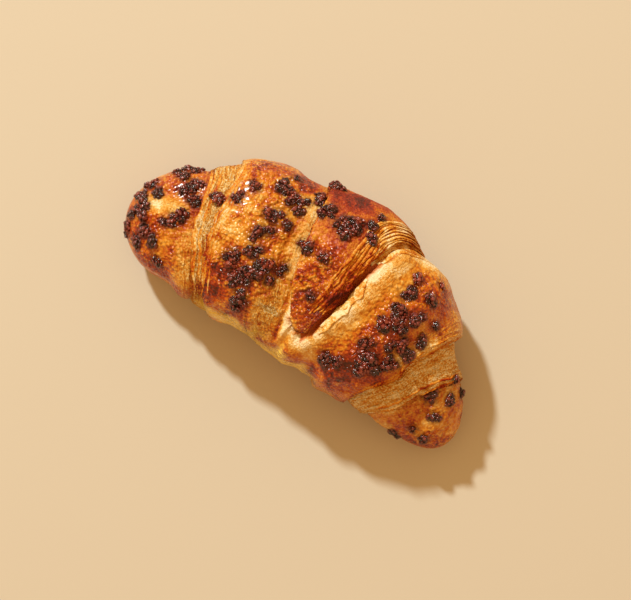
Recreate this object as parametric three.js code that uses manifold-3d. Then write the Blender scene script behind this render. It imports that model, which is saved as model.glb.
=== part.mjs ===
// A chocolate croissant: a triangle of layered dough rolled up into a bent, fat spindle, baked
// with chocolate nuggets on its crust. It is one solid. Millimetres, +Z up, resting on Z = 0;
// +X runs along the roll, and the hollow side of the bend faces -Y.
import * as THREE from "three";
import { mergeVertices } from "three/addons/utils/BufferGeometryUtils.js";
import Module from "manifold-3d";

// Driving sizes, in millimetres
const HALF_LENGTH = 80.6; // from the middle of the roll to each end of its spine, along X
const BENDS = [28, 30.5]; // how far the spine's left and right ends lie forward of its middle
const HEIGHT_SHARE = 0.66; // height over width
const SUNK = 0.93; // share of the lower half that stays above the tray: the rest is the flat foot
const PLUMP = 2.3; // 2 would be an oval section; above it the section is a little squarer
const END_BLUNTNESS = 8; // how late the roll closes towards its two ends
const CENTRE = [0.51, 0.44]; // puts the middle of the outline's box on the origin

// Half the width of the roll, against the place along it: -1 and 1 are the two ends
const HALF_WIDTHS = [
  [-1, 22.5], [-0.84, 25], [-0.7, 27.4], [-0.56, 32.6], [-0.42, 35.2], [-0.21, 36.4], [0, 38],
  [0.12, 38.4], [0.28, 35.2], [0.42, 35.3], [0.56, 31.4], [0.7, 26], [0.84, 20.4], [1, 16.5],
];

// The slow swells of the crust: height, waves along the roll per radian, waves round it, and start
const SWELLS = [[0.5, 0.17, 3, 1.3], [0.2, 0.37, 2, 0]];

// Places where the dough is squeezed or bulges: along the roll, degrees of roll from the top, how
// far the place reaches along and round, and how far it stands out
const BULGES = [
  [55, 90, 7, 50, -5], [-52, 80, 7, 40, -3], [-57, -90, 4.5, 45, 3.2], [41, 90, 5, 40, -1.2],
  [28, -90, 4, 40, -1.5], [-21, 90, 5, 40, -1.8], [3, 90, 5, 40, 0.8],
];

// The dough is a rolled triangle, so its two long edges wind round the roll from the flap's tip
// outwards. Each pair is an angle of roll from the tip, in degrees, and a place along the roll.
const TIP_ROLL = -51; // where the flap's tip lies, in degrees from the top, towards the back
const TIP_FRONT = [0.5, 7.6]; // the flap ends in a short, blunt front between these places
const LEFT_EDGE = [
  [0, 6], [2, 0.4], [9, -3.2], [21, -6.6], [45, -10.4], [95, -12.7], [134, -14.3],
  [231, -22], [308, -38], [354, -46.5], [383, -48], [420, -47], [473, -43], [591, -48],
  [710, -51.5], [773, -54], [833, -51], [951, -60],
];
const RIGHT_EDGE = [
  [0, 7.6], [4, 8.8], [22, 9.8], [46, 10.6], [74, 10.5], [98, 11.3], [113, 12.8],
  [132, 21], [168, 28], [231, 34], [321, 47], [358, 48.5], [395, 50.5], [420, 48.2],
  [476, 49.6], [591, 53], [681, 56], [729, 60.2], [795, 60.5], [951, 66],
];
const LAST_ROLL = 951; // where the winding ends, hidden under the foot

// How deep each edge stands over the dough below it, and how far that dough takes to rise again
const LEFT_DEPTH = [[0, 3], [98, 3.4], [231, 2.2], [354, 1.5], [470, 1], [591, 1.2], [773, 1.6], [951, 0]];
const RIGHT_DEPTH = [
  [0, 5], [40, 6.5], [80, 6], [104, 3.5], [132, 1.6], [231, 1.5], [476, 1.3], [795, 1.8], [951, 0],
];
const LEFT_RISE = [[0, 8], [231, 7], [354, 3.5], [591, 4], [773, 6], [951, 6]];
const RIGHT_RISE = [[0, 4.2], [100, 3.6], [150, 5], [476, 5], [795, 6], [951, 6]];
const STEP_WIDTH = 1.3; // half the breadth of an edge's face
const LIP_DROP = 0.18; // how much an edge rounds down, as a share of its depth
const LIP_WIDTH = 2.5;
const NEAR_EDGE = 12; // how far off an edge's slant still counts
const EDGES_MEET = 4; // half the breadth over which the left edge's form turns into the right one's

// Chocolate nuggets lie in oval heaps: x, y, how many, the heap's length and breadth, and its turn
const HEAPS = [
  [-72, 4, 4, 8, 6, 79], [-67, 8, 2, 4, 2, 14], [-79, -7, 3, 8, 2, 69], [-79, -14, 3, 5, 4, 34],
  [-77, -19, 4, 9, 5, 44], [-65, 1, 4, 9, 3, 59], [-61, -3, 2, 4, 3, 174], [-63, -14, 4, 11, 3, 56],
  [-78, -29, 2, 6, 1, 139], [-71, -26, 2, 4, 2, 154], [-66, -27, 2, 4, 2, 169], [-59, -33, 2, 5, 2, 149],
  [-53, 3, 1, 0, 0, 0], [-43, 16, 1, 0, 0, 0], [-46, 8, 2, 5, 3, 104], [-31, 28, 1, 0, 0, 0],
  [-33, 22, 3, 7, 4, 139], [-26, 19, 4, 10, 4, 22], [-30, 10, 4, 9, 4, 39], [-23, 10, 2, 4, 2, 34],
  [-31, 0, 3, 6, 3, 74], [-28, -7, 2, 6, 3, 54], [-34, -14, 3, 7, 5, 99], [-26, -18, 6, 12, 6, 52],
  [-21, -10, 3, 8, 5, 74], [-14, -6, 1, 0, 0, 0], [-22, -26, 4, 10, 4, 94], [-15, 34, 2, 5, 3, 4],
  [-12, 24, 4, 7, 5, 44], [-2, 23, 7, 10, 9, 34], [6, 30, 2, 6, 2, 70], [9, 24, 1, 0, 0, 0],
  [-12, 7, 2, 5, 4, 44], [-3, 7, 1, 0, 0, 0], [1, -9, 1, 0, 0, 0], [33, 22, 1, 0, 0, 0],
  [43, 24, 1, 0, 0, 0], [34, 15, 2, 6, 3, 49], [43, 17, 1, 0, 0, 0], [35, 6, 4, 7, 5, 144],
  [42, 8, 3, 8, 2, 60], [38, 1, 3, 6, 5, 94], [32, -2, 2, 5, 3, 154], [50, 10, 1, 0, 0, 0],
  [49, 2, 1, 0, 0, 0], [43, -5, 4, 9, 4, 30], [31, -12, 2, 5, 3, 54], [34, -19, 5, 11, 6, 104],
  [43, -13, 4, 8, 4, 154], [22, -26, 4, 10, 4, 20], [70, -3, 1, 0, 0, 0], [65, -15, 2, 3, 3, 34],
  [73, -12, 2, 5, 1, 99], [77, -6, 1, 0, 0, 0], [72, -21, 1, 0, 0, 0], [67, -30, 1, 0, 0, 0],
  [63, -37, 1, 0, 0, 0], [73, -31, 1, 0, 0, 0],
];
const NUGGET_RADIUS = 3;
const NUGGET_SPREAD = 0.18; // how much nuggets differ in size
const NUGGET_SQUASH = [1.12, 0.92, 0.85];
const NUGGET_SUNK = 0.3; // how deep a nugget's middle lies under the crust
const GOLDEN_TURN = 2.39996; // radians from one nugget of a heap to the next
const DROP_HEIGHT = 200; // nuggets are dropped straight down from here
const PULL_IN = 0.98; // a nugget that misses the crust is moved this much nearer the middle

// Mesh sizes
const STEPS_ALONG = 94;
const STEPS_ROUND = 35;
const END_CROWDING = 0.45; // 0 spaces the steps along evenly, 1 crowds them fully at the two ends
const TOP_CROWDING = 0.25; // how much closer the steps round the roll lie on top than underneath
const SAME_POINT = 1e-3;

const radians = THREE.MathUtils.degToRad;
const { lerp, smoothstep, euclideanModulo } = THREE.MathUtils;

// The value at x of a smooth curve through rising [x, value] pairs, level past both ends
function through(pairs, x) {
  const last = pairs.length - 1;
  if (x <= pairs[0][0]) return pairs[0][1];
  if (x >= pairs[last][0]) return pairs[last][1];
  let i = 0;
  while (x > pairs[i + 1][0]) i++;
  const slope = (a, b) => (pairs[b][1] - pairs[a][1]) / (pairs[b][0] - pairs[a][0]);
  const span = pairs[i + 1][0] - pairs[i][0];
  const t = (x - pairs[i][0]) / span;
  const from = slope(Math.max(i - 1, 0), i + 1) * span;
  const to = slope(i, Math.min(i + 2, last)) * span;
  const a = pairs[i][1];
  const b = pairs[i + 1][1];
  return a + t * (from + t * (3 * (b - a) - 2 * from - to + t * (2 * (a - b) + from + to)));
}

// The height across an edge: beyond it, distance > 0, the dough drops and rises again
function step(distance, depth, rise) {
  const beyond = smoothstep(distance, -STEP_WIDTH, STEP_WIDTH);
  const lip = LIP_DROP * depth * Math.exp(-Math.abs(distance) / LIP_WIDTH);
  const drop = depth * Math.exp(-Math.max(distance, 0) / rise);
  return -lerp(lip, drop, beyond);
}

// How far a place lies to the right of an edge: straight across the edge near it, along X far off
function rightOf(edge, along, wound, radius) {
  const offset = along - through(edge, wound);
  const perRadian = (through(edge, wound + 1) - through(edge, wound - 1)) / radians(2);
  const slant = Math.hypot(1, perRadian / radius);
  return offset / lerp(1, slant, Math.exp(-((offset / NEAR_EDGE) ** 2)));
}

// How far the crust stands in or out of the plain spindle at a place along and round it
function relief(along, roll, radius) {
  let height = 0;
  for (const [swell, wavesAlong, wavesRound, start] of SWELLS) {
    height += swell * Math.sin(wavesAlong * along + wavesRound * radians(roll) + start);
  }
  for (const [middle, facing, length, breadth, bulge] of BULGES) {
    const round = euclideanModulo(roll - facing + 180, 360) - 180;
    height += bulge * Math.exp(-(((along - middle) / length) ** 2) - (round / breadth) ** 2);
  }
  const turned = roll - TIP_ROLL;
  for (let wound = turned < 0 ? turned + 360 : turned; wound < LAST_ROLL; wound += 360) {
    const left = -rightOf(LEFT_EDGE, along, wound, radius);
    const right = rightOf(RIGHT_EDGE, along, wound, radius);
    const rightness = smoothstep(right - left, -EDGES_MEET, EDGES_MEET);
    const depth = lerp(through(LEFT_DEPTH, wound), through(RIGHT_DEPTH, wound), rightness);
    const rise = lerp(through(LEFT_RISE, wound), through(RIGHT_RISE, wound), rightness);
    height += step(Math.max(left, right), depth, rise);
  }
  // In front of the flap's tip the step runs round the tip
  if (turned < 0) {
    const beside = along - THREE.MathUtils.clamp(along, ...TIP_FRONT);
    const rightness = smoothstep(along, ...TIP_FRONT);
    const depth = lerp(LEFT_DEPTH[0][1], RIGHT_DEPTH[0][1], rightness);
    const rise = lerp(LEFT_RISE[0][1], RIGHT_RISE[0][1], rightness);
    height += step(Math.hypot(beside, radius * radians(turned)), depth, rise);
  }
  return height;
}

// A point of the crust: share runs -1 to 1 along the spine, and roll is in degrees from the top
function crust(share, roll) {
  const along = HALF_LENGTH * share;
  const bend = BENDS[share < 0 ? 0 : 1];
  const lean = (-2 * bend * share) / HALF_LENGTH;
  const leanLength = Math.hypot(1, lean);
  const width = through(HALF_WIDTHS, share);
  const angle = radians(roll);
  const across = Math.abs(Math.sin(angle)) / width;
  const up = Math.abs(Math.cos(angle)) / (HEIGHT_SHARE * width);
  const spindle = (across ** PLUMP + up ** PLUMP) ** (-1 / PLUMP);
  const closing = Math.sqrt(Math.max(1 - Math.abs(share) ** END_BLUNTNESS, 0));
  const radius = closing * (spindle + relief(along, roll, spindle));
  const out = radius * Math.sin(angle);
  return new THREE.Vector3(
    along - (out * lean) / leanLength + CENTRE[0],
    -bend * share * share + out / leanLength + CENTRE[1],
    Math.max(SUNK * HEIGHT_SHARE * width + radius * Math.cos(angle), 0),
  );
}

// The roll: a sphere whose poles become the two ends, each vertex moved onto the crust
function rollGeometry() {
  const geometry = new THREE.SphereGeometry(1, STEPS_ROUND, STEPS_ALONG);
  const { position, uv } = geometry.attributes;
  for (let i = 0; i < position.count; i++) {
    const level = 2 * uv.getY(i) - 1;
    const round = 2 * Math.PI * (1 - uv.getX(i));
    const turn = THREE.MathUtils.radToDeg(round - TOP_CROWDING * Math.sin(round));
    const share = lerp(level, Math.sin((level * Math.PI) / 2), END_CROWDING);
    const atEnd = Math.abs(share) > 1 - SAME_POINT * SAME_POINT;
    const roll = atEnd ? 0 : euclideanModulo(turn + 180, 360) - 180;
    const point = crust(atEnd ? Math.sign(share) : share, roll);
    position.setXYZ(i, point.x, point.y, point.z);
  }
  geometry.deleteAttribute("normal");
  geometry.deleteAttribute("uv");
  const merged = mergeVertices(geometry, SAME_POINT);
  merged.computeVertexNormals();
  return merged;
}

// A steady stand-in for chance: a number from -1 to 1 for each n
function chance(n) {
  const s = Math.sin(n * 12.9898) * 43758.5453;
  return 2 * (s - Math.floor(s)) - 1;
}

// One nugget: an eight-sided lump that lies on one of its faces
function nuggetGeometry(n) {
  const geometry = new THREE.OctahedronGeometry(NUGGET_RADIUS * (1 + NUGGET_SPREAD * chance(n)), 0);
  const faceNormal = new THREE.Vector3(1, 1, 1).normalize();
  const up = new THREE.Vector3(0, 0, 1);
  geometry.applyQuaternion(new THREE.Quaternion().setFromUnitVectors(faceNormal, up));
  geometry.scale(...NUGGET_SQUASH);
  geometry.rotateZ(Math.PI * chance(n + 0.5));
  geometry.deleteAttribute("normal");
  geometry.deleteAttribute("uv");
  return mergeVertices(geometry, SAME_POINT);
}

// Every nugget, laid on the crust where a line straight down from its place meets it
function nuggetGeometries(roll) {
  const ray = new THREE.Raycaster();
  const down = new THREE.Vector3(0, 0, -1);
  const up = new THREE.Vector3(0, 0, 1);
  const nuggets = [];
  for (const [x, y, count, length, breadth, turn] of HEAPS) {
    for (let k = 0; k < count; k++) {
      const reach = count === 1 ? 0 : Math.sqrt((k + 0.5) / count) / 2;
      const swing = GOLDEN_TURN * k + turn;
      const place = new THREE.Vector2(length * reach * Math.cos(swing), breadth * reach * Math.sin(swing));
      place.rotateAround(new THREE.Vector2(), radians(turn)).add(new THREE.Vector2(x, y));
      let hit;
      while (!hit) {
        ray.set(new THREE.Vector3(place.x, place.y, DROP_HEIGHT), down);
        [hit] = ray.intersectObject(roll);
        if (!hit) place.multiplyScalar(PULL_IN);
      }
      const nugget = nuggetGeometry(nuggets.length);
      nugget.applyQuaternion(new THREE.Quaternion().setFromUnitVectors(up, hit.face.normal));
      const centre = hit.point.addScaledVector(hit.face.normal, -NUGGET_SUNK);
      nugget.translate(centre.x, centre.y, centre.z);
      nuggets.push(nugget);
    }
  }
  return nuggets;
}

const wasm = await Module();
wasm.setup();

function solidOf(geometry) {
  return new wasm.Manifold(
    new wasm.Mesh({
      numProp: 3,
      vertProperties: geometry.attributes.position.array,
      triVerts: new Uint32Array(geometry.index.array),
    }),
  );
}

// The whole pastry: the roll and its nuggets joined into one closed body
const rollMesh = new THREE.Mesh(rollGeometry());
rollMesh.updateMatrixWorld(true);
let pastry = solidOf(rollMesh.geometry);
for (const nugget of nuggetGeometries(rollMesh)) pastry = pastry.add(solidOf(nugget));

const joined = pastry.getMesh();
const geometry = new THREE.BufferGeometry();
geometry.setAttribute("position", new THREE.BufferAttribute(joined.vertProperties, 3));
geometry.setIndex(new THREE.BufferAttribute(joined.triVerts, 1));
geometry.computeVertexNormals();
const crustMaterial = new THREE.MeshStandardMaterial({ color: 0xb8661f, roughness: 0.45, metalness: 0 });
const croissant = new THREE.Mesh(geometry, crustMaterial);
croissant.name = "croissant";

const part = new THREE.Group();
part.add(croissant);
export default part;
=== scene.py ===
import math

import bmesh
import bpy
import numpy as np
from mathutils import Matrix, Vector, kdtree, noise
from mathutils.bvhtree import BVHTree

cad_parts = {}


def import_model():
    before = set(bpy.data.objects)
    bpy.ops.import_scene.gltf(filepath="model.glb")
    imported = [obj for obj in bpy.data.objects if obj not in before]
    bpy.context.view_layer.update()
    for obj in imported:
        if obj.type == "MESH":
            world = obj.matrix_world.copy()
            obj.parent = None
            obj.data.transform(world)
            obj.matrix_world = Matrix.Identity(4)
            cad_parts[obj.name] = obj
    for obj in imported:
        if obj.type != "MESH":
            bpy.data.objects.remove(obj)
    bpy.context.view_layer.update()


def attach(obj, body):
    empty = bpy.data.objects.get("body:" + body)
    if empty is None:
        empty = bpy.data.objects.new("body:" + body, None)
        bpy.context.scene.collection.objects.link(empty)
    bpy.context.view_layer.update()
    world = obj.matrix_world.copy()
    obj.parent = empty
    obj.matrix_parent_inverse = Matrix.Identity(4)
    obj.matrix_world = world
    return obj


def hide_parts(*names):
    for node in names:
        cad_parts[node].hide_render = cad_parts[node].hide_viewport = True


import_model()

# The crust. The real piece is a triangle of layered yeast dough, rolled up from its wide side to
# its pointed flap, bent a little, brushed with egg and baked. It is one body that lies on its flat
# foot: each wrap of the dough ends in a lip that stands over the wrap below it.
MM = 0.001
HALF_LENGTH = 80.6  # sizes are in millimetres until a mesh is written
USUAL_RADIUS = 30.0
BENDS = (28.0, 30.5)  # how far the spine's left and right ends lie forward of its middle
HEIGHT_SHARE = 0.66  # the height as a share of the width
SUNK = 0.93  # the spine's height as a share of the half height, so the foot is cut off flat
PLUMP = 2.3  # 2 makes the section an ellipse, and more makes it fuller
END_BLUNTNESS = 8
CENTRE = (0.51, 0.44)
HALF_WIDTHS = [
    (-1, 22.5), (-0.84, 25), (-0.7, 27.4), (-0.56, 32.6), (-0.42, 35.2), (-0.21, 36.4), (0, 38),
    (0.12, 38.4), (0.28, 35.2), (0.42, 35.3), (0.56, 31.4), (0.7, 26), (0.84, 20.4), (1, 16.5),
]
# Slow swells of the dough: how tall, the waves along it and round it, and where they start
SWELLS = [(0.5, 0.17, 3, 1.3), (0.2, 0.37, 2, 0)]

# Places where the dough is squeezed or bulges: along the roll, degrees of roll from the top, how
# far the place reaches along and round, and how far it stands out
BULGES = [
    (55, 90, 7, 50, -5), (-52, 80, 7, 40, -3), (-57, -90, 4.5, 45, 3.2), (41, 90, 5, 40, -1.2),
    (28, -90, 4, 40, -1.5), (-21, 90, 5, 40, -1.8), (3, 90, 5, 40, 0.8),
]

# The two long edges of the rolled triangle: degrees of roll from the flap's tip, and the place
# along the roll. Then how deep the step down from each edge is, and how far beyond it the lower
# wrap takes to rise again.
TIP_ROLL = -51.0
TIP_FRONT = (0.5, 7.6)
LEFT_EDGE = [
    (0, 6), (2, 0.4), (9, -3.2), (21, -6.6), (45, -10.4), (95, -12.7), (134, -14.3),
    (231, -22), (308, -38), (354, -46.5), (383, -48), (420, -47), (473, -43), (591, -48),
    (710, -51.5), (773, -54), (833, -51), (951, -60),
]
RIGHT_EDGE = [
    (0, 7.6), (4, 8.8), (22, 9.8), (46, 10.6), (74, 10.5), (98, 11.3), (113, 12.8),
    (132, 21), (168, 28), (231, 34), (321, 47), (358, 48.5), (395, 50.5), (420, 48.2),
    (476, 49.6), (591, 53), (681, 56), (729, 60.2), (795, 60.5), (951, 66),
]
LEFT_DEPTH = [(0, 3), (98, 3.4), (231, 2.2), (354, 1.5), (470, 1), (591, 1.2), (773, 1.6), (951, 0)]
RIGHT_DEPTH = [
    (0, 5), (40, 6.5), (80, 6), (104, 3.5), (132, 1.6), (231, 1.5), (476, 1.3), (795, 1.8), (951, 0),
]
LEFT_RISE = [(0, 8), (231, 7), (354, 3.5), (591, 4), (773, 6), (951, 6)]
RIGHT_RISE = [(0, 4.2), (100, 3.6), (150, 5), (476, 5), (795, 6), (951, 6)]
NEAR_EDGE = 12.0  # how far off an edge's slant still counts
EDGES_MEET = 4.0
WRAPS = 3
EDGE_WAVES, EDGE_NOTCHES = (0.75, 9, 2), (0.3, 2.2)  # how far an edge wanders, and how long the waves are

# How an edge's face is cut: it overhangs at the top and is cut back at its foot
LIP_DROP, LIP_WIDTH = 0.18, 2.5
FACE_HALF, FACE_PER_DEPTH = 0.9, 0.1
OVERHANG, UNDERCUT = 0.08, 0.22  # shares of the edge's depth
LEAF = 0.9  # one baked leaf of dough, with the air above it
FACE_LEAF, LEAFY_DEPTH = 0.22, 3.0  # how far single leaves stand out of a face, once it is this deep
PULL_REACH = 6.0  # the crust beside a face stretches over this much to reach it

# The flap's right side slopes down to a crevice, and the pale crest rises steeply beyond it
FLAP_SLOPE, FLAP_SLOPE_WIDTH = 0.3, 4.5
DEEP = 4.0  # an edge this deep has a full crevice
GAP_FLOOR = 2.6  # how wide the crevice is at its bottom
CREST_HASTE = 0.5
CREST_LIP, CREST_WALL = 0.45, 0.8  # the share of the depth that rises at once, and how wide that is

# Low forms: how tall, where, and how far they reach. The valley and the crest lie beyond the
# flap's edge; the fold runs beside the flap's tip.
ON_TOP, VALLEY, CREST = (1.0, 5, 58), (1.3, 5.5, 3.5), (1.3, 8.0, 4.5)
FOLD_PLACE, FOLD_ROLL, FOLD_LEAN = -7.3, -25.0, 0.195
FOLD_STARTS, FOLD_ENDS = (-18, -26), (-72, -62)  # degrees of roll
FOLD_RIDGE, FOLD_CREASE = (1.4, 0, 2.1), (1.0, -3.5, 1.0)
FOLD_FACE = 2.6

# Where the layers show. The strips show them all over, and the arms and the tips near their edges.
# A share is how plainly they show, a reach is how far, and a roll is where they start, in degrees.
STRIP_WIDTH = 10.5
ARM_LIP, STRIP_LIP, FLAP_LIP = (1.0, 0, 2.4), (0.8, 1, 3.0), (1.0, 1.0, 2.5)
FLAP_LIP_SHARES = (0.9, 0.35)  # left and right
FLAP_BACK_REACH = 5
TIP_SHARE, TIP_REACH, TIP_ROLLS, TIP_RIGHT = 0.8, 8.5, (5, -15), 0.6
ARM_SHARE, ARM_REACHES, ARM_ROLLS = 0.8, (7.5, 4.0), (-35, -15)  # right and left
FRONT_SHARE, FRONT_PLACE, FRONT_REACH, FRONT_ROLLS = 0.7, -13, 9, (-18, -33)
CREST_SHARE, CREST_REACH = 0.45, (2, 8)
VALLEY_SHARE, VALLEY_REACH = 0.5, (1, 6)
FOLD_SMOOTH = 0.85

# The layers' relief: terraces that wander and break off, and streaks, taller on flaky dough. Then
# lumps and blisters all over: how tall, how broad, octaves.
TERRACE, TERRACE_WANDER, TERRACE_BREAKS = 0.27, (1.3, 6, 2), (0.9, 2.5)
WANDER_ACROSS, WANDER_ROUND = 0.25, 0.2  # the patterns are drawn out along the layers
STREAKS, STREAK_SIZE, STREAK_ROUND = (0.1, 0.25), (1.1, 2), 0.1
LUMPS = ((0.55, 13, 2), (0.32, 4.2, 2))
BLISTERS, BLISTER_ROLLS = ((0.36, 2.5), (0.22, 1.2)), (100, 70)


def smooth(t):
    t = np.clip(t, 0, 1)
    return t * t * (3 - 2 * t)


def between(x, start, end):
    """Grows smoothly from 0 at start to 1 at end, whichever is greater."""
    return smooth((x - start) / (end - start))


def hump(x, middle, reach):
    return np.exp(-(((x - middle) / reach) ** 2))


def past(x, end, reach):
    """1 up to the end, and then it fades."""
    return hump(np.maximum(x - end, 0), 0, reach)


def before(x, start, reach):
    """It grows up to the start, and stays 1."""
    return hump(np.minimum(x - start, 0), 0, reach)


def form(x, sizes):
    tall, middle, reach = sizes
    return tall * hump(x, middle, reach)


def through(pairs, x):
    """A smooth curve through rising (x, value) pairs, level past both ends."""
    xs, ys = np.array(pairs, float).T
    x = np.clip(x, xs[0], xs[-1])
    i = np.clip(np.searchsorted(xs, x, side="right") - 1, 0, len(xs) - 2)
    first, last = np.maximum(i - 1, 0), np.minimum(i + 2, len(xs) - 1)
    span = xs[i + 1] - xs[i]
    t = (x - xs[i]) / span
    a, b = ys[i], ys[i + 1]
    start = (b - ys[first]) / (xs[i + 1] - xs[first]) * span
    end = (ys[last] - a) / (xs[last] - xs[i]) * span
    return a + t * (start + t * (3 * (b - a) - 2 * start - end + t * (2 * (a - b) + start + end)))


def lumps(points, size, octaves=1):
    """Steady unevenness, about -1 to 1, with lumps of about that size at each point.

    A number added to the points only moves the pattern, so that two patterns differ.
    """
    return np.array([noise.fractal(p, 1.0, 2.0, octaves) for p in (points / size).tolist()])


def uneven(points, sizes):
    return sizes[0] * lumps(points, *sizes[1:])


def slope_of(edge, wound, radius):
    return (through(edge, wound + 1) - through(edge, wound - 1)) / math.radians(2) / radius


def edge_of(wrap, along, turned, radius):
    """How far each place lies beyond a wrap's edge, the way across that edge, and its form."""
    wound = turned + 360 * wrap
    beyond, across = [], []
    for edge, side in ((LEFT_EDGE, -1), (RIGHT_EDGE, 1)):
        slope = slope_of(edge, wound, radius)
        slant = np.hypot(1, slope)
        offset = along - through(edge, wound)
        beyond.append(side * offset / (1 + (slant - 1) * hump(offset, 0, NEAR_EDGE)))
        across.append(np.stack([side / slant, -side * slope / slant]))
    right = smooth((beyond[1] - beyond[0] + EDGES_MEET) / (2 * EDGES_MEET))
    distance = np.maximum(*beyond)
    way = across[0] * (1 - right) + across[1] * right
    if wrap == 0:  # in front of the flap's blunt tip, the edge runs round it
        beside = along - np.clip(along, *TIP_FRONT)
        ahead = -radius * np.radians(turned)
        round_tip = np.hypot(beside, ahead) + 1e-6
        in_front = turned < 0
        distance = np.where(in_front, round_tip, distance)
        way = np.where(in_front, np.stack([beside, -ahead]) / round_tip, way)
        right = np.where(in_front, between(along, *TIP_FRONT), right)
    depth = through(LEFT_DEPTH, wound) * (1 - right) + through(RIGHT_DEPTH, wound) * right
    rise = through(LEFT_RISE, wound) * (1 - right) + through(RIGHT_RISE, wound) * right
    return distance, way, right, depth, rise


def step_of(wrap, along, turned, radius):
    """How a wrap's edge lowers the dough beyond it, and pulls the dough across to form its face."""
    distance, way, right, depth, rise = edge_of(wrap, along, turned, radius)
    rail = np.stack([0.5 * (turned + 360 * wrap), 20 * right, along * 0.3], axis=1)
    distance = distance + uneven(rail, EDGE_WAVES) + uneven(rail, EDGE_NOTCHES)
    half = FACE_HALF + FACE_PER_DEPTH * depth
    over, under = OVERHANG * depth, UNDERCUT * depth
    down = between(distance, -half, half)
    inside = np.maximum(-distance - half, 0)
    out = np.maximum(distance - half, 0)
    lip = LIP_DROP * depth * np.exp(-inside / LIP_WIDTH)
    crevice = right * smooth(depth / DEEP)
    if wrap == 0:
        lip += FLAP_SLOPE * right * depth * hump(inside, 0, FLAP_SLOPE_WIDTH)
        out = np.maximum(out - GAP_FLOOR * crevice, 0) * (1 + CREST_HASTE * right)
    falling = np.exp(-out / rise)
    if wrap == 0:
        falling -= CREST_LIP * crevice * (falling - np.exp(-out / CREST_WALL))
    lowered = lip * (1 - down) + depth * falling * down

    leaves = np.sin(2 * math.pi * down * depth / LEAF) * FACE_LEAF * smooth(depth / LEAFY_DEPTH)
    face = half + over - (2 * half + over + under) * np.clip((distance + half) / (2 * half), 0, 1)
    pull = np.where(
        distance < -half,
        (half + over) * smooth((distance + half + PULL_REACH) / PULL_REACH),
        -(half + under) * smooth((half + PULL_REACH - distance) / PULL_REACH),
    )
    pull = np.where(np.abs(distance) <= half, face + leaves * np.sin(math.pi * down), pull)
    return lowered, pull * way, {"beyond": distance, "right": right, "depth": depth}


def flakiness(along, roll, wraps, fold):
    """How much of its layers the dough shows at each place, and three stretches that bake paler."""
    flap, arm, strip = (wrap["beyond"] for wrap in wraps)
    right_side = wraps[0]["right"]
    on_top = form(roll, ON_TOP)
    tip = np.where(along < 0, between(roll, *TIP_ROLLS), TIP_RIGHT)
    tip *= between(strip, -1, 0) * past(strip, 0, TIP_REACH)
    arm_end = before(arm, 0, np.where(along > 0, *ARM_REACHES))
    arm_end *= between(arm, 1.5, 0.5) * between(roll, *ARM_ROLLS)
    front = hump(along, FRONT_PLACE, FRONT_REACH) * between(roll, *FRONT_ROLLS) * between(flap, 0, 1)
    crest = past(flap, *CREST_REACH) * right_side * on_top * between(flap, 0, 1)
    valley = past(flap, *VALLEY_REACH) * (1 - right_side) * on_top * between(flap, 0, 1)
    flap_lip = FLAP_LIP_SHARES[0] * (1 - right_side) + FLAP_LIP_SHARES[1] * right_side
    leafy = between(arm, 0, 1.5) * between(strip, 3, 0)
    for part in (
        form(arm, ARM_LIP), form(strip, STRIP_LIP), flap_lip * form(flap, FLAP_LIP),
        before(flap, -1, FLAP_BACK_REACH) * right_side * (flap < 2),
        TIP_SHARE * tip, ARM_SHARE * arm_end, FRONT_SHARE * front,
        CREST_SHARE * crest, VALLEY_SHARE * valley,
    ):
        leafy = np.maximum(leafy, part)
    return leafy * (1 - FOLD_SMOOTH * fold), tip, arm_end, front


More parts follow.
